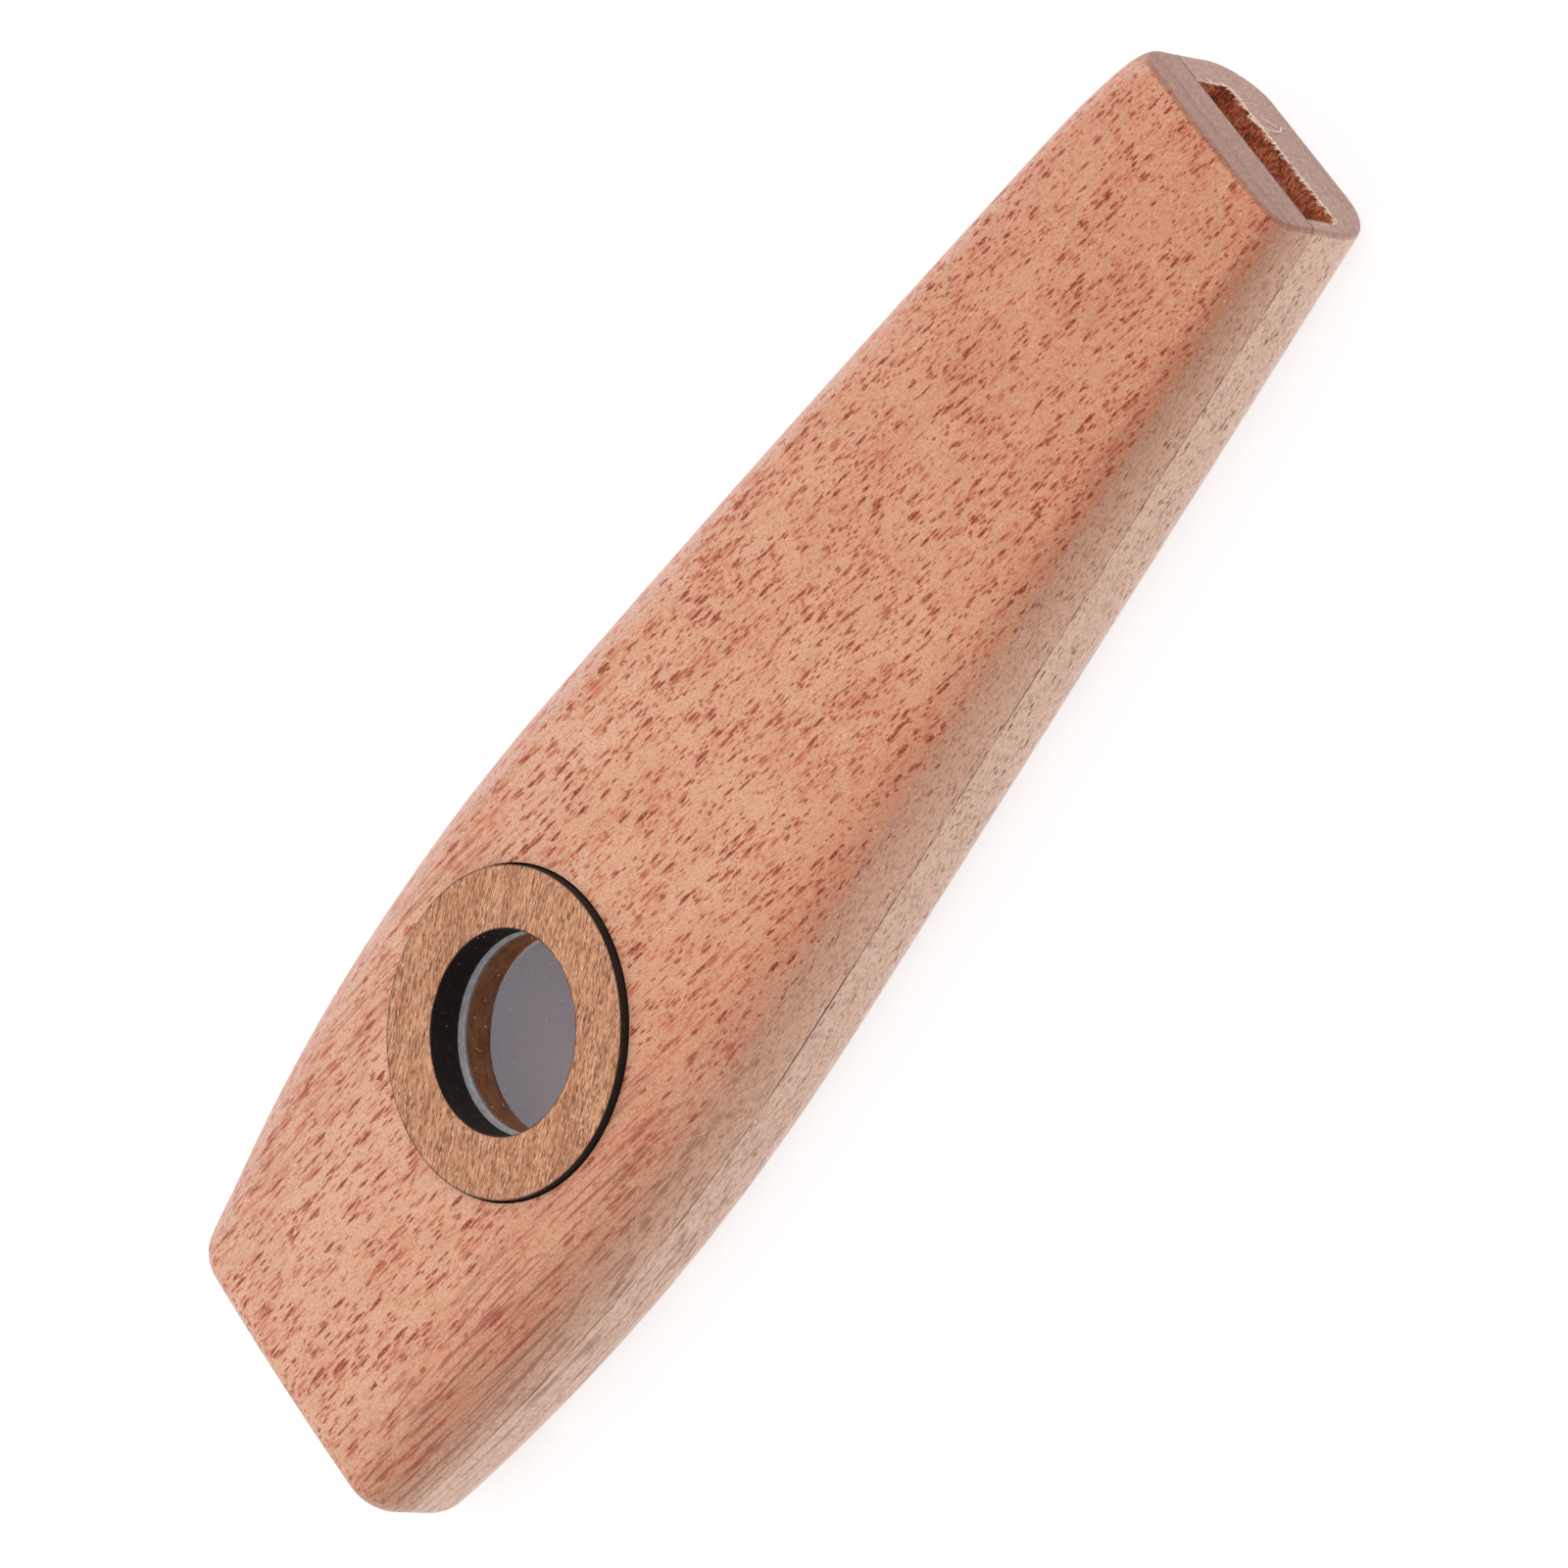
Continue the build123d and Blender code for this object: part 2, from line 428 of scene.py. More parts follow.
def make_lid():
    """Upper half: crowned and tapered, with the stepped seat and the sound hole cut down through it."""
    lid = skinned("lid_wood", [skin_loop(x, inset, lid_outline) for x, inset in stations()])
    hole_end = SEAM - crest_height(RING_X) - OVERCUT
    profile = [
        (0, hole_end),
        (SOUND_HOLE_RADIUS, hole_end),
        (SOUND_HOLE_RADIUS, SEAT),
        (SEAT_RADIUS, SEAT),
        (SEAT_RADIUS, RING_TOP + OVERCUT),
        (0, RING_TOP + OVERCUT),
    ]
    carve(lid, spun("seat_cutter", profile))
    soften(lid.data)
    return lid


def make_tray():
    """Lower half: rounded below, with the air channel milled in from the seam."""
    tray = skinned("tray_wood", [skin_loop(x, inset, tray_outline) for x, inset in stations()])
    carve(tray, skinned("channel_cutter", [channel_loop(x) for x in channel_places()]))
    soften(tray.data)
    return tray


def srgb(red, green, blue):
    """Colour written as it shows on a screen, from 0 to 255, as linear light."""
    def linear(value):
        value /= 255
        return value / 12.92 if value <= 0.04045 else ((value + 0.055) / 1.055) ** 2.4
    return (linear(red), linear(green), linear(blue), 1.0)


def linked(tree, kind, inputs, **settings):
    """Adds a node to a tree: an input is a plain value or another node's socket."""
    made = tree.nodes.new(kind)
    for name, value in settings.items():
        setattr(made, name, value)
    for name, value in inputs.items():
        socket = next(s for s in made.inputs if name in (s.identifier, s.name) and s.enabled)
        if isinstance(value, bpy.types.NodeSocket):
            tree.links.new(value, socket)
        else:
            socket.default_value = value
    return made


def maths(tree, operation, first, second=None):
    """Result of an operation on one or two values, which are numbers or sockets."""
    inputs = {"Value": first}
    if second is not None:
        inputs["Value_001"] = second
    return linked(tree, "ShaderNodeMath", inputs, operation=operation).outputs[0]


def fade(tree, value, start, end, low=0.0, high=1.0):
    """Smooth change from low to high while the value goes from start to end."""
    inputs = {"Value": value, "From Min": start, "From Max": end, "To Min": low, "To Max": high}
    return linked(tree, "ShaderNodeMapRange", inputs, interpolation_type="SMOOTHSTEP").outputs[0]


# Below 2, a speck's ends are pointed instead of round. The faintest speck has this share of full strength.
SPECK_POINT = 1.7
FAINTEST_SPECK = 0.4


class Finish:
    """A material and the steps that its pattern is made by."""

    def __init__(self, name, roughness, shine=0.5):
        self.material = bpy.data.materials.new(name)
        self.material.use_nodes = True
        self.tree = self.material.node_tree
        self.shader = self.tree.nodes["Principled BSDF"]
        self.shader.inputs["Roughness"].default_value = roughness
        self.shader.inputs["Specular IOR Level"].default_value = shine

    def node(self, kind, inputs, **settings):
        return linked(self.tree, "ShaderNode" + kind, inputs, **settings)

    def maths(self, operation, first, second=None):
        return maths(self.tree, operation, first, second)

    def times(self, first, second):
        return self.maths("MULTIPLY", first, second)

    def most(self, first, second):
        return self.maths("MAXIMUM", first, second)

    def fade(self, value, start, end, low=0.0, high=1.0):
        return fade(self.tree, value, start, end, low, high)

    def place(self, scale, turn=0.0, shift=(0, 0, 0)):
        """Object coordinates, turned about the up axis, in units of the given lengths."""
        spot = self.node("TexCoord", {}).outputs["Object"]
        turned = self.node("Mapping", {"Vector": spot, "Rotation": (0, 0, turn)}).outputs[0]
        return self.measured(turned, scale, shift)

    def measured(self, spot, scale, shift):
        """The spot in units of the given lengths, shifted."""
        sizes = tuple(1 / length for length in scale)
        return self.node("Mapping", {"Vector": spot, "Scale": sizes, "Location": shift}).outputs[0]

    def grain(self, scale, shift=(0, 0, 0)):
        """Place along the turned grain, in units of the given lengths, which shorten towards the mouth."""
        parts = self.node("SeparateXYZ", {"Vector": self.place((1, 1, 1), GRAIN_TURN)}).outputs
        closer = self.maths("ADD", self.times(parts["X"], GRAIN_SHORTENING), 1.0)
        inputs = {"X": self.times(parts["X"], closer), "Y": parts["Y"], "Z": parts["Z"]}
        return self.measured(self.node("CombineXYZ", inputs).outputs[0], scale, shift)

    def blend(self, share, first, second):
        """Colour that goes from the first to the second with the share."""
        inputs = {"Factor_Float": share, "A_Color": first, "B_Color": second}
        made = self.node("Mix", inputs, data_type="RGBA")
        return next(s for s in made.outputs if s.identifier == "Result_Color")

    def clouds(self, place, detail=2.0, roughness=0.5):
        """Soft noise between 0 and 1."""
        inputs = {"Vector": place, "Scale": 1.0, "Detail": detail, "Roughness": roughness}
        return self.node("TexNoise", inputs).outputs[0]

    def warped(self, place, amount, fineness):
        """The place pushed about by soft noise."""
        push = self.node("TexNoise", {"Vector": place, "Scale": fineness, "Detail": 2.0}).outputs[1]
        inputs = {"Vector": push, "Vector_001": (0.5, 0.5, 0.5)}
        centred = self.node("VectorMath", inputs, operation="SUBTRACT").outputs[0]
        inputs = {"Vector": centred, "Scale": amount}
        scaled = self.node("VectorMath", inputs, operation="SCALE").outputs[0]
        inputs = {"Vector": place, "Vector_001": scaled}
        return self.node("VectorMath", inputs, operation="ADD").outputs[0]

    def flecks(self, place, small, large, share, soft=0.12):
        """Scattered pointed specks, each of its own size and strength, of which only a share is there."""
        inputs = {"Vector": place, "Scale": 1.0, "Exponent": SPECK_POINT}
        cells = self.node("TexVoronoi", inputs, distance="MINKOWSKI")
        pick = self.node("SeparateColor", {"Color": cells.outputs["Color"]})
        size = self.fade(pick.outputs[0], 0.0, 1.0, small, large)
        edge = self.maths("SUBTRACT", size, cells.outputs["Distance"])
        there = self.maths("LESS_THAN", pick.outputs[1], share)
        strength = self.fade(pick.outputs[2], 0.0, 1.0, FAINTEST_SPECK, 1.0)
        return self.times(self.fade(edge, -soft, soft), self.times(there, strength))

    def tilt(self, axis):
        """How far the surface faces along an axis, from -1 to 1."""
        normal = self.node("TexCoord", {}).outputs["Normal"]
        return self.node("SeparateXYZ", {"Vector": normal}).outputs[axis]

    def facing(self, axis):
        """How squarely the surface faces along an axis, either way."""
        return self.maths("ABSOLUTE", self.tilt(axis))

    def from_axis(self):
        """Distance from the ring's axis."""
        spot = self.node("TexCoord", {}).outputs["Object"]
        level = self.node("Mapping", {"Vector": spot, "Scale": (1, 1, 0)}).outputs[0]
        inputs = {"Vector": level, "Vector_001": (RING_X, 0, 0)}
        return self.node("VectorMath", inputs, operation="DISTANCE").outputs["Value"]

    def along(self, axis):
        """Object coordinate along an axis."""
        spot = self.node("TexCoord", {}).outputs["Object"]
        return self.node("SeparateXYZ", {"Vector": spot}).outputs[axis]

    def bump(self, height, depth):
        """Lets the height stand out of the surface by at most the depth."""
        made = self.node("Bump", {"Height": height, "Strength": 1.0, "Distance": depth})
        self.tree.links.new(made.outputs[0], self.shader.inputs["Normal"])

    def colour(self, socket):
        self.tree.links.new(socket, self.shader.inputs["Base Color"])


# Turn of the body's grain about the up axis, and how much closer its marks come per metre towards the mouth
GRAIN_TURN = math.radians(9)
GRAIN_SHORTENING = 3.8


def seam_line_and_gap_shade(wood):
    """How dark the glue line is at a place: a hairline that comes and goes, darkest where it gapes, as
    painted shade in the open joint.
    """
    away = wood.maths("ABSOLUTE", wood.maths("SUBTRACT", wood.along("Z"), SEAM))
    hairline = wood.fade(away, 0.1 * MM, 0.03 * MM)
    clouds = wood.clouds(wood.place((3 * MM, 6 * MM, 6 * MM), 0.0, (1, 5, 2)), detail=3.0)
    broken = wood.fade(clouds, 0.4, 0.65, 0.25, 0.75)
    from_gape = wood.maths("ABSOLUTE", wood.maths("SUBTRACT", wood.along("X"), SEAM_GAPE_X))
    gape = wood.fade(from_gape, 12 * MM, 2 * MM, 0.0, 0.95)
    end = wood.fade(wood.facing("X"), 0.6, 0.95, 0.0, 0.8)
    strongest = wood.most(wood.most(broken, gape), end)
    return wood.times(hairline, strongest)


# Height of the dark year line on the ends, and how far it wanders
YEAR_LINE = SEAM + 2.6 * MM
YEAR_LINE_WANDER = 0.4 * MM


def end_grain(wood, tones, ground):
    """Tone of the ends: mottled, with fine year lines and one dark line across the lid."""
    year_lines = wood.clouds(wood.place((9 * MM, 6 * MM, 0.16 * MM), 0.0, (6, 1, 4)), detail=3.0)
    tone = wood.blend(wood.fade(year_lines, 0.5, 0.68, 0.0, 0.9), tones["end grain"], tones["grey brown"])
    mottle = wood.clouds(wood.place((0.4 * MM, 0.4 * MM, 0.16 * MM), 0.0, (3, 3, 7)), detail=3.0)
    tone = wood.blend(wood.fade(mottle, 0.48, 0.64, 0.0, 0.7), tone, tones["grey brown"])
    tone = wood.blend(wood.fade(mottle, 0.48, 0.32, 0.0, 0.35), tone, tones["side"])
    wander = wood.fade(ground, 0.0, 1.0, -YEAR_LINE_WANDER, YEAR_LINE_WANDER)
    level = wood.maths("ADD", wood.along("Z"), wander)
    from_line = wood.maths("ABSOLUTE", wood.maths("SUBTRACT", level, YEAR_LINE))
    return wood.blend(wood.fade(from_line, 0.12 * MM, 0.02 * MM, 0.0, 0.7), tone, tones["year line"])


# Sizes of what the body's wood shows, along its grain, across it and in depth
GROUND_CLOUD = (16 * MM, 3.5 * MM, 3.5 * MM)
CLUSTER_CLOUD = (6 * MM, 3.5 * MM, 3.5 * MM)
ROW_CLOUD = (6 * MM, 0.8 * MM, 0.8 * MM)
STREAK = (11 * MM, 0.3 * MM, 0.3 * MM)
LONG_MARK = (1.3 * MM, 0.29 * MM, 0.26 * MM)
SHORT_MARK = (0.6 * MM, 0.2 * MM, 0.18 * MM)
GLINT = (0.8 * MM, 0.22 * MM, 0.2 * MM)
SIDE_DASH = (0.6 * MM, 0.17 * MM, 0.15 * MM)
DOT = (0.3 * MM, 0.22 * MM, 0.22 * MM)
SPECKLE = (0.22 * MM, 0.14 * MM, 0.14 * MM)
GRIT = (0.2 * MM, 0.13 * MM, 0.13 * MM)


def body_wood(name, tones):
    """Sanded hardwood: red-brown flecks in clusters, fine dots, and streaks by the edges of the tail."""
    wood = Finish(name, roughness=0.4, shine=0.2)
    ground = wood.clouds(wood.place(GROUND_CLOUD, GRAIN_TURN), detail=3.0)
    cluster = wood.clouds(wood.place(CLUSTER_CLOUD, GRAIN_TURN, (3, 1, 2)), detail=3.0)
    grit = wood.clouds(wood.place(GRIT, GRAIN_TURN, (2, 8, 3)), detail=2.0)
    streak = wood.clouds(wood.place(STREAK, GRAIN_TURN, (5, 2, 1)), detail=3.0)
    speckle = wood.clouds(wood.place(SPECKLE, GRAIN_TURN, (9, 4, 1)), detail=2.0)
    long_place = wood.grain(LONG_MARK)
    long_place = wood.warped(wood.warped(long_place, 1.2, 0.2), 0.5, 2.0)
    short_place = wood.warped(wood.grain(SHORT_MARK, (4, 9, 2)), 0.5, 2.0)
    dot_place = wood.warped(wood.place(DOT, GRAIN_TURN, (7, 3, 5)), 0.4, 1.0)
    glint_place = wood.warped(wood.grain(GLINT, (1, 6, 8)), 0.5, 2.0)
    rows = wood.clouds(wood.grain(ROW_CLOUD, (8, 5, 3)), detail=2.0)
    in_cluster = wood.fade(cluster, 0.36, 0.64, 0.0, 0.5)
    crowd = wood.maths("ADD", in_cluster, wood.fade(rows, 0.4, 0.62, 0.0, 0.5))
    # Faces turned to the far side: a highlight is painted on them, and their marks are painted fainter
    # under it
    far_edge = wood.fade(wood.tilt("Y"), 0.0, 0.3)
    near_edge = wood.fade(wood.along("Y"), -7 * MM, -13 * MM)
    near_tail = wood.fade(wood.along("X"), 2 * MM, -28 * MM)
    far_side = wood.fade(wood.along("Y"), 5 * MM, 12 * MM)
    far_side = wood.times(far_side, wood.fade(far_edge, 0.0, 1.0, 0.8, 0.4))
    by_edges = wood.times(wood.most(near_edge, far_side), near_tail)
    off_near_side = wood.fade(wood.tilt("Y"), -0.5, -0.95, 1.0, 0.95)
    fainter = wood.times(wood.fade(far_edge, 0.0, 1.0, 1.0, 0.75), off_near_side)
    fainter = wood.times(wood.fade(by_edges, 0.0, 1.0, 1.0, 0.7), fainter)
    long_marks = wood.flecks(long_place, 0.16, 0.66, wood.fade(crowd, 0.0, 1.0, 0.2, 0.9), soft=0.3)
    long_marks = wood.times(long_marks, fainter)
    short_marks = wood.flecks(short_place, 0.14, 0.6, wood.fade(crowd, 0.0, 1.0, 0.25, 0.85), soft=0.25)
    short_marks = wood.times(short_marks, fainter)
    glints = wood.flecks(glint_place, 0.1, 0.5, 0.6, soft=0.25)
    dots = wood.flecks(dot_place, 0.12, 0.32, 0.85, soft=0.15)
    broken = wood.fade(speckle, 0.35, 0.6, 0.4, 1.0)
    halo = wood.fade(wood.most(long_marks, wood.times(short_marks, 0.8)), 0.0, 0.5, 0.0, 0.7)
    core = wood.times(wood.fade(long_marks, 0.3, 0.95), broken)
    small_core = wood.times(wood.fade(short_marks, 0.35, 0.95, 0.0, 0.85), broken)

    # Where on the body: sides, ends, edges, the paler and redder parts, and where light and shade are
    # painted
    side = wood.fade(wood.facing("Z"), 0.8, 0.25)
    low_side = wood.times(side, wood.fade(wood.along("Z"), SEAM + 3.2 * MM, SEAM))
    end = wood.fade(wood.facing("X"), 0.6, 0.95)
    # Faces that turn downwards, where a reflection of the white floor is painted
    under = wood.fade(wood.tilt("Z"), -0.02, -0.6)
    eased = wood.times(wood.fade(wood.facing("X"), 0.2, 0.5), wood.fade(wood.facing("X"), 0.98, 0.8))
    mouth_edge = wood.times(eased, wood.fade(wood.along("X"), 50 * MM, 56 * MM))
    towards_far = wood.fade(wood.along("Y"), -12 * MM, 14 * MM, 0.25, 0.5)
    towards_tail = wood.fade(wood.along("X"), 45 * MM, -45 * MM)
    paler_far_and_tail = wood.times(towards_far, towards_tail)
    streaked = wood.times(wood.fade(streak, 0.5, 0.66), by_edges)
    at_ends = wood.maths(
        "ADD",
        wood.fade(wood.along("X"), 15 * MM, 56 * MM, 0.0, 0.32),
        wood.fade(wood.along("X"), -15 * MM, -45 * MM, 0.0, 0.15),
    )
    near_corner = wood.times(wood.fade(wood.tilt("Y"), -0.1, -0.5), at_ends)
    dash_place = wood.warped(wood.place(SIDE_DASH, 0.0, (5, 8, 1)), 0.5, 2.0)
    dashes = wood.flecks(dash_place, 0.15, 0.6, 0.75, soft=0.3)
    dashes = wood.times(dashes, wood.fade(side, 0.2, 1.0, 0.0, 0.65))

    tone = wood.blend(wood.fade(ground, 0.3, 0.7), tones["pale"], tones["warm"])
    tone = wood.blend(wood.fade(wood.along("X"), 0 * MM, 60 * MM, 0.0, 0.6), tone, tones["ripe"])
    tone = wood.blend(wood.fade(cluster, 0.4, 0.75, 0.0, 0.35), tone, tones["blush"])
    # Redder wash along the near top edge: partly the wood's own colour, partly painted shade
    tone = wood.blend(wood.times(near_edge, 0.4), tone, tones["blush"])
    # Lighter towards the far side and the tail
    tone = wood.blend(paler_far_and_tail, tone, tones["light"])
    # Greyer tone on the sides: partly the side grain's own colour, partly painted sheen
    tone = wood.blend(wood.times(side, 0.7), tone, tones["side"])
    tone = wood.blend(near_corner, tone, wood.blend(side, tones["shade"], tones["side shade"]))
    # Painted light: the lower part of the side is paler, as lit from the floor below
    tone = wood.blend(wood.times(low_side, 0.7), tone, tones["low side light"])
    # Painted highlight: the far edge is paler, as where it catches the light
    tone = wood.blend(wood.times(far_edge, 0.85), tone, tones["far edge highlight"])
    # Painted reflection: faces that turn downwards are made near white, as they mirror the white floor
    tone = wood.blend(wood.times(under, 0.7), tone, tones["under"])
    tone = wood.blend(wood.times(glints, 0.4), tone, tones["light"])
    tone = wood.blend(wood.fade(grit, 0.42, 0.72, 0.0, 0.5), tone, tones["pore"])
    tone = wood.blend(wood.times(dots, wood.fade(side, 0.0, 1.0, 0.6, 0.3)), tone, tones["pore"])
    tone = wood.blend(dashes, tone, tones["side fleck"])
    mark = wood.blend(side, tones["fleck"], tones["side fleck"])
    tone = wood.blend(halo, tone, wood.blend(side, tones["ember"], tones["side"]))
    tone = wood.blend(wood.times(streaked, 0.6), tone, mark)
    tone = wood.blend(small_core, tone, mark)
    tone = wood.blend(core, tone, mark)
    tone = wood.blend(wood.times(end, 0.8), tone, end_grain(wood, tones, ground))
    # Darker along the eased edges at the mouth
    tone = wood.blend(wood.times(mouth_edge, 0.5), tone, tones["grey brown"])
    # Dark glue line, with painted shade where the joint gapes
    tone = wood.blend(seam_line_and_gap_shade(wood), tone, srgb(58, 40, 34))
    wood.colour(tone)
    marks = wood.most(long_marks, wood.times(short_marks, 0.7))
    hollow = wood.maths("ADD", marks, wood.times(dots, 0.5))
    wood.bump(wood.times(hollow, -1.0), 0.012 * MM)
    return wood.material


def burnt_wood(name):
    """Wall left black by the cutting beam, with a little brown where it burnt less."""
    wood = Finish(name, roughness=0.8, shine=0.3)
    soot = wood.clouds(wood.place((0.6 * MM, 0.6 * MM, 0.25 * MM)), detail=3.0)
    wood.colour(wood.blend(wood.fade(soot, 0.45, 0.85), srgb(36, 28, 26), srgb(66, 48, 38)))
    wood.bump(soot, 0.03 * MM)
    return wood.material


def channel_wood(name):
    """Milled floor and walls of the air channel: red-brown and furry, darker away from the mouth as painted
    shade, with painted light on the floor past the ring.
    """
    wood = Finish(name, roughness=0.8)
    fur = wood.clouds(wood.place((0.45 * MM, 0.22 * MM, 0.22 * MM)), detail=4.0, roughness=0.65)
    clumps = wood.clouds(wood.place((0.8 * MM, 0.8 * MM, 0.8 * MM), 0.0, (4, 2, 6)), detail=2.0)
    at_mouth = wood.blend(wood.fade(fur, 0.34, 0.66), srgb(176, 64, 36), srgb(255, 164, 114))
    at_mouth = wood.blend(wood.fade(clumps, 0.5, 0.7, 0.0, 0.6), at_mouth, srgb(124, 44, 26))
    # Painted light on the floor on the tail's side of the ring, and painted shade further in from the mouth
    lit = wood.fade(wood.along("X"), RING_X + 4 * MM, RING_X - 6 * MM)
    inside = wood.blend(lit, srgb(60, 38, 35), srgb(150, 108, 98))
    near_mouth = wood.fade(wood.along("X"), 40 * MM, 56 * MM)
    wood.colour(wood.blend(near_mouth, inside, at_mouth))
    wood.bump(wood.times(fur, near_mouth), 0.15 * MM)
    return wood.material


def bored_wood(name):
    """Wall of the sound hole: bare brown wood with turning marks, and painted shade darkening its lower
    end.
    """
    wood = Finish(name, roughness=0.7, shine=0.2)
    marks = wood.clouds(wood.place((3 * MM, 3 * MM, 0.15 * MM)), detail=2.0)
    pores = wood.flecks(wood.place((0.9 * MM, 0.25 * MM, 0.25 * MM)), 0.1, 0.45, 0.6)
    patches = wood.clouds(wood.place((1.6 * MM, 1.6 * MM, 1.0 * MM), 0.0, (2, 7, 4)), detail=3.0)
    tone = wood.blend(wood.fade(marks, 0.3, 0.7), srgb(255, 188, 138), srgb(240, 158, 112))
    tone = wood.blend(wood.fade(patches, 0.4, 0.7, 0.0, 0.5), tone, srgb(200, 114, 78))
    tone = wood.blend(wood.times(pores, 0.6), tone, srgb(150, 84, 56))
    # Painted shade: darker at the lower end of the wall, deep in the hole
    darkened = wood.fade(wood.along("Z"), SEAM + 1.25 * MM, SEAM + 0.9 * MM)
    wood.colour(wood.blend(darkened, tone, srgb(62, 36, 28)))
    wood.bump(marks, 0.02 * MM)
    return wood.material


RING_GRAIN_TURN = math.radians(-29)


def ring_wood(name):
    """Face of thin plywood: rough straight fibres, some light and some dark, with darker edges."""
    wood = Finish(name, roughness=0.7, shine=0.2)
    fibre_place = wood.warped(wood.place((0.9 * MM, 0.09 * MM, 0.09 * MM), RING_GRAIN_TURN), 0.6, 0.6)
    fibre = wood.clouds(fibre_place, detail=3.0, roughness=0.7)
    band = wood.clouds(wood.place((14 * MM, 0.9 * MM, 0.9 * MM), RING_GRAIN_TURN, (2, 4, 1)), detail=3.0)
    pale_place = wood.warped(wood.place((0.5 * MM, 0.13 * MM, 0.13 * MM), RING_GRAIN_TURN), 0.5, 1.5)
    dark_place = wood.place((0.7 * MM, 0.15 * MM, 0.15 * MM), RING_GRAIN_TURN, (1, 1, 1))
    dark_place = wood.warped(dark_place, 0.5, 1.5)
    line_place = wood.warped(wood.place((5 * MM, 0.3 * MM, 0.3 * MM), RING_GRAIN_TURN, (3, 2, 1)), 0.3, 0.5)
    pale = wood.flecks(pale_place, 0.1, 0.5, 0.7)
    dark = wood.flecks(dark_place, 0.1, 0.5, 0.6)
    line = wood.flecks(line_place, 0.06, 0.3, 0.28, soft=0.1)
    away = wood.from_axis()
    outer_edge = wood.fade(away, RING_RADIUS - 0.2 * MM, RING_RADIUS - 0.03 * MM)
    inner_edge = wood.fade(away, RING_OPENING_RADIUS + 0.18 * MM, RING_OPENING_RADIUS + 0.03 * MM)
    # Darker band along the outer and inner edges of the face
    darkened = wood.times(wood.most(outer_edge, inner_edge), 0.75)
    tone = wood.blend(wood.fade(band, 0.3, 0.7), srgb(242, 182, 140), srgb(212, 148, 110))
    tone = wood.blend(wood.fade(fibre, 0.34, 0.6), srgb(126, 74, 50), tone)
    tone = wood.blend(wood.times(pale, 0.85), tone, srgb(254, 212, 174))
    tone = wood.blend(wood.times(dark, 0.75), tone, srgb(122, 70, 48))
    tone = wood.blend(wood.times(line, 0.85), tone, srgb(100, 54, 34))
    wood.colour(wood.blend(darkened, tone, srgb(70, 46, 34)))
    wood.bump(wood.maths("ADD", fibre, wood.maths("SUBTRACT", pale, dark)), 0.05 * MM)
    return wood.material


def rim_plastic(name):
    """Pale matte rim of the membrane."""
    rim = Finish(name, roughness=0.45)
    dust = rim.clouds(rim.place((0.4 * MM, 0.4 * MM, 0.4 * MM)), detail=3.0)
    rim.colour(rim.blend(rim.fade(dust, 0.3, 0.7), srgb(168, 168, 170), srgb(196, 196, 198)))
    return rim.material


def plain_finish(name, tone, roughness):
    """One colour all over."""
    finish = Finish(name, roughness)
    finish.shader.inputs["Base Color"].default_value = tone
    return finish.material


def clear_film(name):
    """Clear stretched film, very slightly uneven."""
    film = Finish(name, roughness=0.03)
    film.shader.inputs["Base Color"].default_value = (0.95, 0.95, 0.96, 1)
    film.shader.inputs["Transmission Weight"].default_value = 1.0
    film.shader.inputs["IOR"].default_value = 1.77
    film.shader.inputs["Specular Tint"].default_value = (0.98, 0.91, 1.0, 1.0)
    film.bump(film.clouds(film.place((6 * MM, 6 * MM, 6 * MM)), detail=1.0), 0.02 * MM)
    return film.material


def tree_input(tree, name, kind):
    """Adds a named input to a geometry tree and returns its identifier."""
    return tree.interface.new_socket(name, in_out="INPUT", socket_type="NodeSocket" + kind).identifier


def started_tree(name, kinds):
    """New geometry tree with the named inputs: gives it, its inputs' sockets and their identifiers."""
    tree = bpy.data.node_groups.new(name, "GeometryNodeTree")
    sockets = {label: tree_input(tree, label, kind) for label, kind in kinds.items()}
    return tree, tree.nodes.new("NodeGroupInput").outputs, sockets


def finished_tree(tree, geometry, finish, part=None, part_finish=None):
    """Ends a tree: instances made real and given their finish, and a part of the faces one of its own."""
    real = linked(tree, "GeometryNodeRealizeInstances", {"Geometry": geometry})
    dressed = linked(tree, "GeometryNodeSetMaterial", {"Geometry": real.outputs[0], "Material": finish})
    if part:
        inputs = {"Geometry": dressed.outputs[0], "Selection": part, "Material": part_finish}
        dressed = linked(tree, "GeometryNodeSetMaterial", inputs)
    tree.interface.new_socket("Geometry", in_out="OUTPUT", socket_type="NodeSocketGeometry")
    linked(tree, "NodeGroupOutput", {"Geometry": dressed.outputs[0]})


# A face of the ring counts as flat, and not as wall, when its normal is this close to upright
FLAT_FACE = 0.9


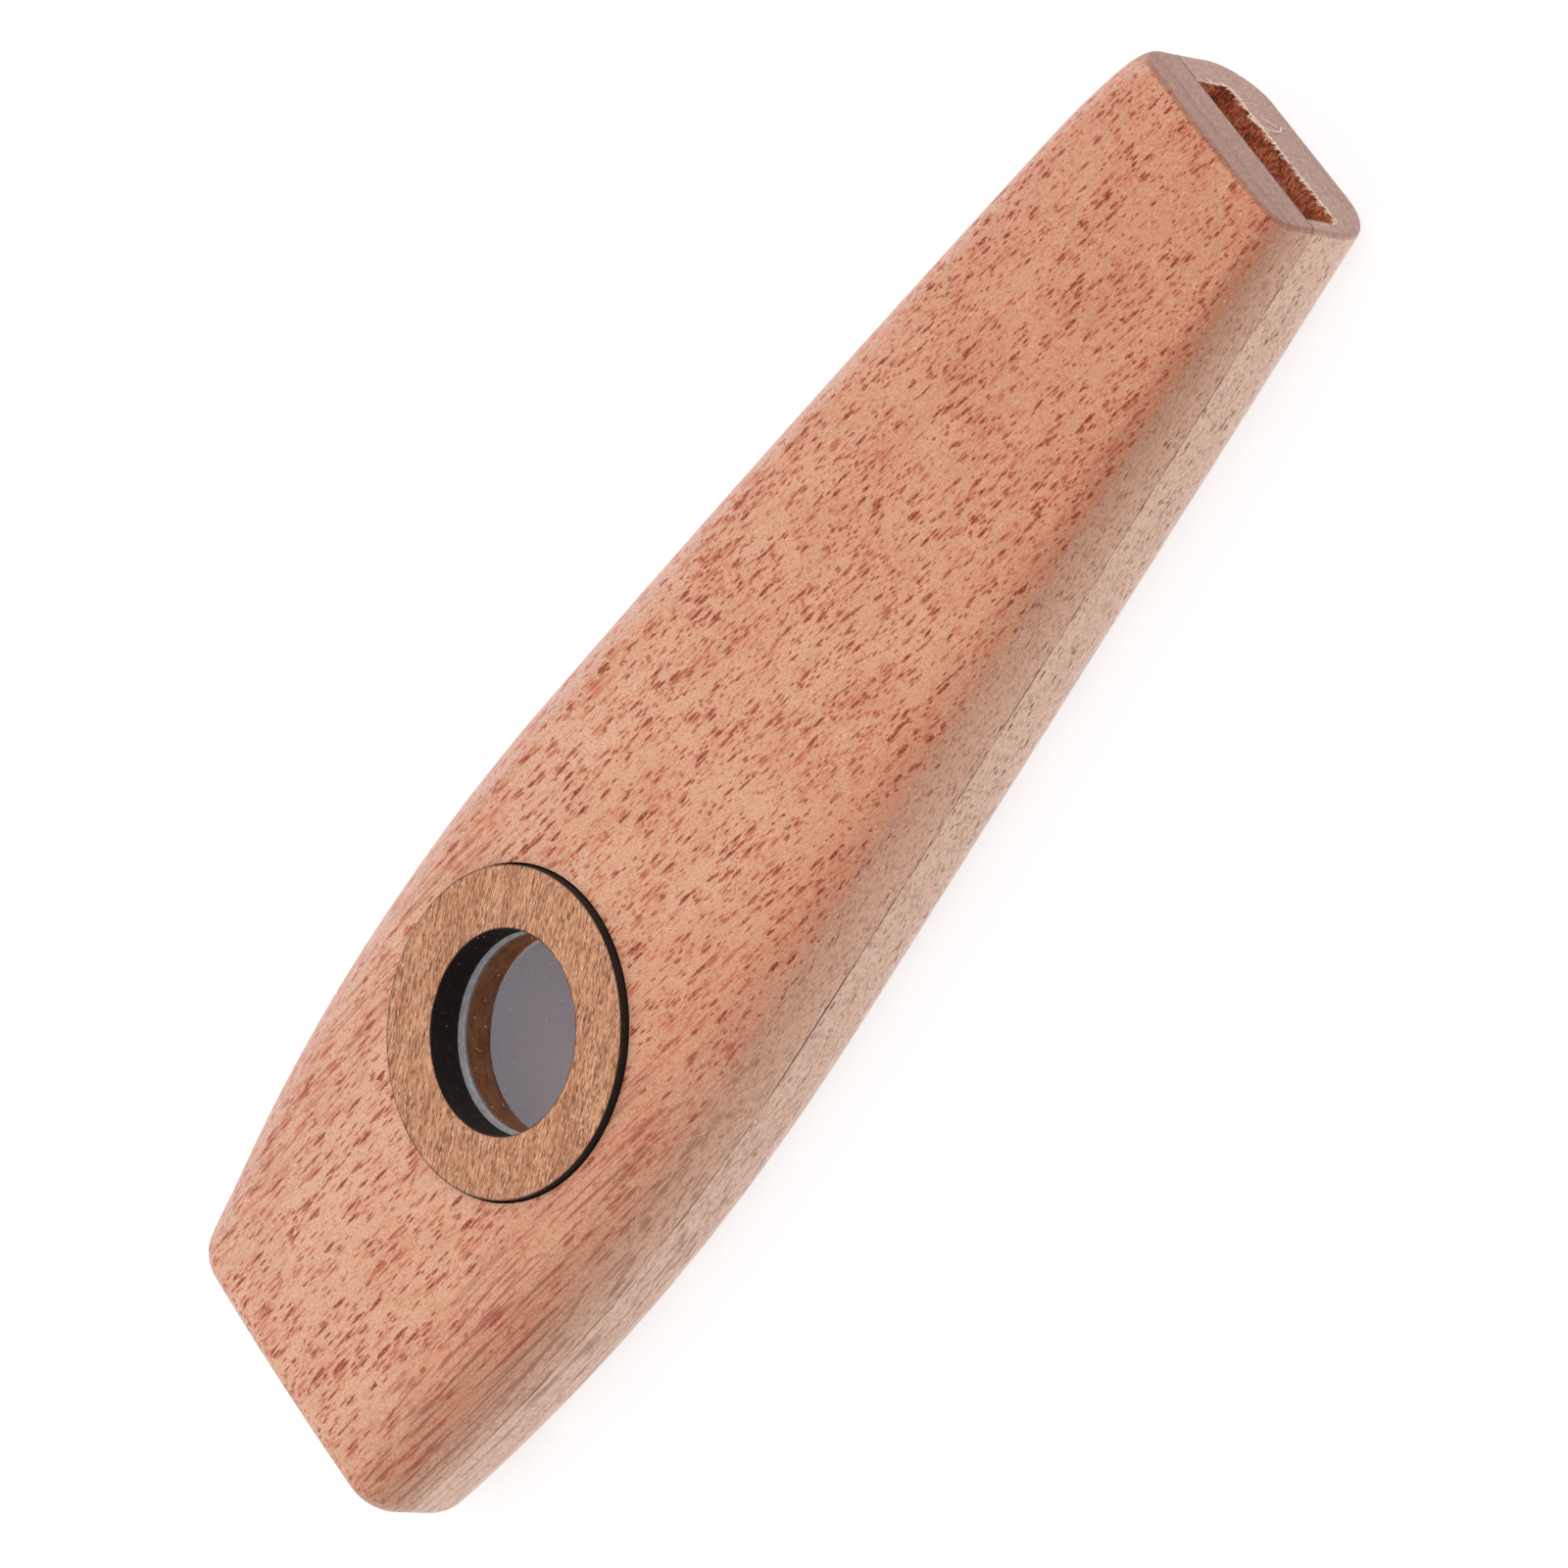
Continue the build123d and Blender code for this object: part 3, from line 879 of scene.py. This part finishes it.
def turned_ring_tree():
    """Geometry tree of a flat ring with eased edges: its face gets one finish and its walls another."""
    kinds = {"Outer radius": "Float", "Inner radius": "Float", "Base height": "Float"}
    kinds |= {"Top height": "Float", "Edge ease": "Float"}
    kinds |= {"Face finish": "Material", "Wall finish": "Material"}
    tree, given, sockets = started_tree("turned_ring", kinds)
    radii = given["Outer radius"], given["Inner radius"]
    heights = given["Top height"], given["Base height"]
    sides = {"Width": maths(tree, "SUBTRACT", *radii), "Height": maths(tree, "SUBTRACT", *heights)}
    section = linked(tree, "GeometryNodeCurvePrimitiveQuadrilateral", sides)
    inputs = {"Curve": section.outputs["Curve"], "Count": 4, "Radius": given["Edge ease"]}
    eased = linked(tree, "GeometryNodeFilletCurve", inputs, mode="POLY")
    middle = maths(tree, "MULTIPLY", maths(tree, "ADD", *radii), 0.5)
    path = linked(tree, "GeometryNodeCurvePrimitiveCircle", {"Resolution": TURN_STEPS, "Radius": middle})
    inputs = {"Curve": path.outputs["Curve"], "Profile Curve": eased.outputs["Curve"]}
    solid = linked(tree, "GeometryNodeCurveToMesh", inputs)
    middle = maths(tree, "MULTIPLY", maths(tree, "ADD", *heights), 0.5)
    lift = linked(tree, "ShaderNodeCombineXYZ", {"Z": middle})
    inputs = {"Geometry": solid.outputs["Mesh"], "Translation": lift.outputs[0]}
    moved = linked(tree, "GeometryNodeTransform", inputs)
    normal = linked(tree, "GeometryNodeInputNormal", {}).outputs[0]
    upright = linked(tree, "ShaderNodeSeparateXYZ", {"Vector": normal}).outputs["Z"]
    flat = maths(tree, "GREATER_THAN", maths(tree, "ABSOLUTE", upright), FLAT_FACE)
    finished_tree(tree, moved.outputs["Geometry"], given["Wall finish"], flat, given["Face finish"])
    return tree, sockets


def bristle_tree():
    """Geometry tree of torn fibres: thin cones of random lean and length, spaced along the mesh's lines."""
    kinds = {"Line": "Geometry", "Count": "Int", "Length": "Float", "Thickness": "Float"}
    kinds |= {"Least lean": "Vector", "Most lean": "Vector", "Seed": "Int", "Finish": "Material"}
    tree, given, sockets = started_tree("bristles", kinds)
    curve = linked(tree, "GeometryNodeMeshToCurve", {"Mesh": given["Line"]})
    spaced = linked(tree, "GeometryNodeResampleCurve", {"Curve": curve.outputs[0], "Count": given["Count"]})
    sizes = {"Vertices": 5, "Radius Top": 0.0}
    sizes |= {"Radius Bottom": given["Thickness"], "Depth": given["Length"]}
    cone = linked(tree, "GeometryNodeMeshCone", sizes)
    leans = {"Min": given["Least lean"], "Max": given["Most lean"], "Seed": given["Seed"]}
    lean = linked(tree, "FunctionNodeRandomValue", leans, data_type="FLOAT_VECTOR")
    scales = {"Min": 0.3, "Max": 1.3, "Seed": given["Seed"]}
    scale = linked(tree, "FunctionNodeRandomValue", scales, data_type="FLOAT")
    shared = {"Points": spaced.outputs[0], "Instance": cone.outputs["Mesh"], "Rotation": lean.outputs[0]}
    placed = linked(tree, "GeometryNodeInstanceOnPoints", shared)
    tree.links.new(next(o for o in scale.outputs if o.enabled), placed.inputs["Scale"])
    finished_tree(tree, placed.outputs[0], given["Finish"])
    return tree, sockets


def curl_tree():
    """Geometry tree of loose fibres: thin round threads that bend smoothly through the mesh's lines."""
    kinds = {"Line": "Geometry", "Thickness": "Float", "Finish": "Material"}
    tree, given, sockets = started_tree("curls", kinds)
    curve = linked(tree, "GeometryNodeMeshToCurve", {"Mesh": given["Line"]})
    inputs = {"Curve": curve.outputs[0]}
    bent = linked(tree, "GeometryNodeCurveSplineType", inputs, spline_type="CATMULL_ROM")
    inputs = {"Resolution": 6, "Radius": given["Thickness"]}
    section = linked(tree, "GeometryNodeCurvePrimitiveCircle", inputs)
    inputs = {"Curve": bent.outputs[0], "Profile Curve": section.outputs[0], "Fill Caps": True}
    thread = linked(tree, "GeometryNodeCurveToMesh", inputs)
    finished_tree(tree, thread.outputs[0], given["Finish"])
    return tree, sockets


def dust_tree():
    """Geometry tree of dust: small lumps of random size, strewn over the mesh's faces."""
    kinds = {"Surface": "Geometry", "Density": "Float", "Size": "Float"}
    kinds |= {"Seed": "Int", "Finish": "Material"}
    tree, given, sockets = started_tree("dust", kinds)
    inputs = {"Mesh": given["Surface"], "Density": given["Density"], "Seed": given["Seed"]}
    strewn = linked(tree, "GeometryNodeDistributePointsOnFaces", inputs)
    lump = linked(tree, "GeometryNodeMeshIcoSphere", {"Radius": given["Size"], "Subdivisions": 1})
    scales = {"Min": 0.35, "Max": 1.0, "Seed": given["Seed"]}
    scale = linked(tree, "FunctionNodeRandomValue", scales, data_type="FLOAT")
    inputs = {"Points": strewn.outputs["Points"], "Instance": lump.outputs["Mesh"]}
    placed = linked(tree, "GeometryNodeInstanceOnPoints", inputs)
    tree.links.new(next(o for o in scale.outputs if o.enabled), placed.inputs["Scale"])
    finished_tree(tree, placed.outputs[0], given["Finish"])
    return tree, sockets


def line_mesh(name, lines):
    """Mesh of nothing but edges, along each of the rows of points."""
    points = []
    edges = []
    for line in lines:
        first = len(points)
        points += line
        edges += [(first + step, first + step + 1) for step in range(len(line) - 1)]
    mesh = bpy.data.meshes.new(name)
    mesh.from_pydata(points, edges, [])
    return mesh


def strip_mesh(name, low, high):
    """Mesh of the strip of faces between two loops of as many points."""
    count = len(low)
    after = [(index + 1) % count for index in range(count)]
    faces = [(index, after[index], count + after[index], count + index) for index in range(count)]
    mesh = bpy.data.meshes.new(name)
    mesh.from_pydata(low + high, [], faces)
    return mesh


def grown(name, tree, sockets, values, start=None):
    """Plain mesh piece from a geometry tree with the given values for its named inputs."""
    piece = object_from(name, start or bpy.data.meshes.new(name))
    maker = piece.modifiers.new("maker", "NODES")
    maker.node_group = tree
    for label, value in values.items():
        maker[sockets[label]] = value
    return settle(piece)


WHISKER = 0.02 * MM


def lid_part(centre, normal):
    """Which finish a face of the lid has: 0 on the skin, 1 on the burnt seat wall, 2 in the hole."""
    spot = SET_FRAME.inverted() @ centre
    if math.hypot(spot.x, spot.y) > SEAT_RADIUS + WHISKER:
        return 0
    return 1 if abs(normal.z) < 0.5 and spot.z > SEAT else 2


def tray_part(centre, normal):
    """Which finish a face of the tray has: 0 on the skin, 1 in the air channel."""
    low, high = lane_walls(centre.x)
    inside = low - WHISKER < centre.y < high + WHISKER
    above_floor = centre.z > SEAM - CHANNEL_DEPTH - WHISKER
    skin_end = abs(normal.x) > 0.8 or normal.z < -0.5
    return int(inside and above_floor and not skin_end)


def dress(piece, finishes, part_of):
    """Gives a piece its finishes, each on the faces that part_of gives its number to."""
    piece.data.materials.clear()
    for finish in finishes:
        piece.data.materials.append(finish)
    for face in piece.data.polygons:
        face.material_index = part_of(face.center, face.normal)


lid_tones = {
    "pale": srgb(232, 178, 143),
    "warm": srgb(224, 164, 129),
    "ripe": srgb(212, 148, 114),
    "blush": srgb(206, 132, 98),
    "light": srgb(242, 196, 164),
    # Painted highlight on the far edge
    "far edge highlight": srgb(222, 182, 164),
    # Painted reflection of the floor on faces that turn downwards
    "under": srgb(250, 234, 224),
    "ember": srgb(206, 114, 84),
    "fleck": srgb(134, 52, 31),
    "side": srgb(212, 170, 144),
    # Painted light on the lower side
    "low side light": srgb(232, 192, 168),
    "shade": srgb(150, 92, 66),
    "side shade": srgb(140, 98, 78),
    "side fleck": srgb(138, 82, 56),
    "pore": srgb(168, 100, 72),
    "end grain": srgb(158, 124, 114),
    "grey brown": srgb(136, 88, 74),
    "year line": srgb(92, 62, 54),
}
tray_tones = {
    "pale": srgb(234, 194, 170),
    "warm": srgb(224, 180, 154),
    "ripe": srgb(222, 178, 152),
    "blush": srgb(210, 156, 132),
    "light": srgb(244, 214, 196),
    # Painted highlight on the far edge
    "far edge highlight": srgb(244, 220, 206),
    # Painted reflection of the floor on faces that turn downwards
    "under": srgb(250, 234, 224),
    "ember": srgb(222, 160, 134),
    "fleck": srgb(146, 92, 72),
    "side": srgb(240, 204, 182),
    # Painted light on the lower side, here the same as the side
    "low side light": srgb(240, 204, 182),
    "shade": srgb(240, 204, 182),
    "side shade": srgb(240, 204, 182),
    "side fleck": srgb(146, 92, 66),
    "pore": srgb(176, 126, 104),
    "end grain": srgb(164, 130, 120),
    "grey brown": srgb(140, 104, 92),
    "year line": srgb(92, 62, 54),
}
lid_finish = body_wood("lid_wood_finish", lid_tones)
tray_finish = body_wood("tray_wood_finish", tray_tones)
hole_finish = bored_wood("sound_hole_finish")
burnt_finish = burnt_wood("burnt_wall_finish")
channel_finish = channel_wood("channel_finish")
ring_finish = ring_wood("ring_face_finish")
rim_finish = rim_plastic("membrane_rim_finish")
film_finish = clear_film("film_finish")

lid = make_lid()
dress(lid, [lid_finish, burnt_finish, hole_finish], lid_part)
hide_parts("upper_half")
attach(lid, "kazoo_body")

tray = make_tray()
dress(tray, [tray_finish, channel_finish], tray_part)
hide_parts("lower_half")
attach(tray, "kazoo_body")

ring_tree, ring_sockets = turned_ring_tree()
ring_values = {
    "Outer radius": RING_RADIUS,
    "Inner radius": RING_OPENING_RADIUS,
    "Base height": RING_BASE,
    "Top height": RING_TOP,
    "Edge ease": RING_EDGE_EASE,
    "Face finish": ring_finish,
    "Wall finish": burnt_finish,
}
ring = grown("retaining_ring_wood", ring_tree, ring_sockets, ring_values)
ring.data.transform(SET_FRAME)
soften(ring.data)
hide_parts("retaining_ring")
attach(ring, "ring")

set_axis = Vector()
rim_loops = [
    circle(set_axis, FILM_RADIUS, FILM_TOP),
    circle(set_axis, FILM_RADIUS, RING_BASE),
    circle(RIM_SHIFT, RIM_OPENING_RADIUS + RIM_EASE, RING_BASE),
    circle(RIM_SHIFT, RIM_OPENING_RADIUS, RING_BASE - RIM_EASE),
    circle(RIM_SHIFT, RIM_OPENING_RADIUS, FILM_TOP),
]
rim = skinned("membrane_rim_band", rim_loops, hoop=True)
rim.data.materials.append(rim_finish)
soften(rim.data)
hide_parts("membrane_rim")
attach(rim, "membrane_set")

film_steps = [FILM_RADIUS * step / FILM_STEPS for step in range(FILM_STEPS + 1)]
film_profile = [(radius, SEAT) for radius in film_steps]
film_profile += [(radius, FILM_TOP) for radius in film_steps[::-1]]
film = spun("membrane_film", film_profile)
film.data.materials.append(film_finish)
film.visible_shadow = False
soften(film.data)
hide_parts("membrane")
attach(film, "membrane_set")

# Torn fibres on the mouth slot's lip, and a few that came loose
fibre_finish = plain_finish("torn_fibre_finish", srgb(246, 218, 198), 0.6)
curl_finish = plain_finish("loose_fibre_finish", srgb(255, 240, 232), 0.6)
LIP_X = MOUTH_X - 0.02 * MM
FAR_WALL_STEPS = 12
lip = [Vector((LIP_X, point.y, point.z)) for point in channel_loop(MOUTH_X)[1:-1]]
far_wall_top = Vector((LIP_X, lip[-1].y, SEAM - 0.2 * MM))
lip += [lip[-1].lerp(far_wall_top, step / FAR_WALL_STEPS) for step in range(1, FAR_WALL_STEPS + 1)]
bristles, bristle_sockets = bristle_tree()
bristle_values = {
    "Count": 220,
    "Length": 0.6 * MM,
    "Thickness": 0.075 * MM,
    "Least lean": (-0.7, -0.3, -0.5),
    "Most lean": (0.7, 0.4, 0.5),
    "Seed": 4,
    "Finish": fibre_finish,
}
fringe = grown("slot_lip_fringe", bristles, bristle_sockets, bristle_values, line_mesh("lip", [lip]))
soften(fringe.data)
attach(fringe, "kazoo_body")

FIBRE_X = MOUTH_X + 0.05 * MM
end_curls = [
    [(2.91, 4.5), (2.45, 4.05), (1.95, 3.5), (1.7, 2.75), (1.85, 1.95), (2.3, 1.5), (2.3, 1.0)],
    [(3.1, 2.95), (2.75, 2.65), (2.6, 2.3), (2.3, 2.0)],
    [(2.85, 4.3), (2.15, 4.1), (1.4, 3.35)],
]
loose = [[Vector((FIBRE_X, y * MM, z * MM)) for y, z in curl] for curl in end_curls]
near_corner_curl = [
    (-36.35, -15.1, 11.86),
    (-36.0, -15.42, 11.68),
    (-35.75, -15.62, 11.5),
    (-35.55, -15.5, 11.62),
]
loose.append([Vector(point) * MM for point in near_corner_curl])
curls, curl_sockets = curl_tree()
curl_values = {"Thickness": 0.038 * MM, "Finish": curl_finish}
threads = grown("loose_fibres", curls, curl_sockets, curl_values, line_mesh("curls", loose))
soften(threads.data)
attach(threads, "kazoo_body")

# Dust on the film and on the ring's burnt wall
dust_finish = plain_finish("dust_finish", srgb(206, 204, 206), 0.9)
dust, dust_sockets = dust_tree()
film_middle = circle(RIM_SHIFT, 0.2 * MM, FILM_TOP)
film_edge = circle(RIM_SHIFT, RIM_OPENING_RADIUS - 0.1 * MM, FILM_TOP)
dust_values = {"Density": 6e5, "Size": 0.06 * MM, "Seed": 3, "Finish": dust_finish}
film_strip = strip_mesh("film_top", film_middle, film_edge)
film_dust = grown("film_dust", dust, dust_sockets, dust_values, film_strip)
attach(film_dust, "membrane_set")

wall_low = circle(set_axis, RING_OPENING_RADIUS, RING_BASE + 0.1 * MM)
wall_high = circle(set_axis, RING_OPENING_RADIUS, RING_TOP - 0.2 * MM)
dust_values = {"Density": 2e5, "Size": 0.06 * MM, "Seed": 5, "Finish": dust_finish}
wall_strip = strip_mesh("ring_wall", wall_low, wall_high)
wall_dust = grown("ring_wall_dust", dust, dust_sockets, dust_values, wall_strip)
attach(wall_dust, "ring")

# Camera at the photograph's viewing angle
CAMERA_PLACE = Vector((305.63, -374.09, 518.94)) * MM
CAMERA_FORWARD = Vector((-0.43263, 0.5305, -0.72897)).normalized()
CAMERA_UP = Vector((0.71988, 0.69004, 0.07493))
CAMERA_LENS = 232.94
SENSOR_WIDTH = 36.0

camera = bpy.data.objects.new("camera", bpy.data.cameras.new("camera"))
camera.data.lens = CAMERA_LENS
camera.data.sensor_width = SENSOR_WIDTH
camera.data.clip_start = 0.01
camera_right = CAMERA_FORWARD.cross(CAMERA_UP).normalized()
camera_up = camera_right.cross(CAMERA_FORWARD)
camera.matrix_world = Matrix.Translation(CAMERA_PLACE) @ Matrix(
    (camera_right, camera_up, -CAMERA_FORWARD)
).transposed().to_4x4()
bpy.context.scene.collection.objects.link(camera)
bpy.context.scene.camera = camera

# Pale floor: white to the camera, with a soft shadow of the object
FLOOR_HALF = 3.0
FLOOR_DROP = 0.05 * MM
FLOOR_PAINT = (0.9, 0.9, 0.9, 1.0)
FLOOR_PAINT_SEEN = (0.35, 0.35, 0.35, 1.0)
FLOOR_GLOW = 0.3
FLOOR_GLOW_SEEN = 0.75


def floor_finish():
    """White light table: the camera sees more of its glow and less of the shadow on it."""
    finish = Finish("floor_finish", roughness=1.0)
    path = finish.node("LightPath", {})
    seen = finish.most(path.outputs["Is Camera Ray"], path.outputs["Is Glossy Ray"])
    seen = finish.most(seen, path.outputs["Is Transmission Ray"])
    paint = finish.blend(seen, FLOOR_PAINT, FLOOR_PAINT_SEEN)
    strength = finish.fade(seen, 0.0, 1.0, FLOOR_GLOW, FLOOR_GLOW_SEEN)
    matt = finish.node("BsdfDiffuse", {"Color": paint})
    glow = finish.node("Emission", {"Strength": strength})
    both = finish.node("AddShader", {})
    finish.tree.links.new(matt.outputs[0], both.inputs[0])
    finish.tree.links.new(glow.outputs[0], both.inputs[1])
    finish.tree.links.new(both.outputs[0], finish.tree.nodes["Material Output"].inputs["Surface"])
    return finish.material


floor_mesh = bpy.data.meshes.new("floor")
corners = [(x * FLOOR_HALF, y * FLOOR_HALF, -FLOOR_DROP) for x, y in ((-1, -1), (1, -1), (1, 1), (-1, 1))]
floor_mesh.from_pydata(corners, [], [(0, 1, 2, 3)])
floor = object_from("floor", floor_mesh)
floor_mesh.materials.append(floor_finish())

# Soft light: a pale tent all round, with its dark opening low on the camera's side
TENT_LIGHT = 1.1
TENT_COLOUR = (1.0, 0.985, 1.0, 1.0)
OPENING_LIGHT = 0.25


def light_tent():
    """World that is pale everywhere but low down towards -Y."""
    tent = bpy.data.worlds.new("light_tent")
    tent.use_nodes = True
    tree = tent.node_tree
    view = linked(tree, "ShaderNodeTexCoord", {}).outputs["Generated"]
    parts = linked(tree, "ShaderNodeSeparateXYZ", {"Vector": view}).outputs
    opening = maths(tree, "MULTIPLY", fade(tree, parts["Y"], -0.1, -0.5), fade(tree, parts["Z"], 0.75, 0.5))
    inputs = {"Value": opening, "To Min": TENT_LIGHT, "To Max": OPENING_LIGHT}
    strength = linked(tree, "ShaderNodeMapRange", inputs)
    background = tree.nodes["Background"]
    tree.links.new(strength.outputs[0], background.inputs["Strength"])
    background.inputs["Color"].default_value = TENT_COLOUR
    return tent


bpy.context.scene.world = light_tent()

bpy.context.scene.view_settings.view_transform = "Standard"
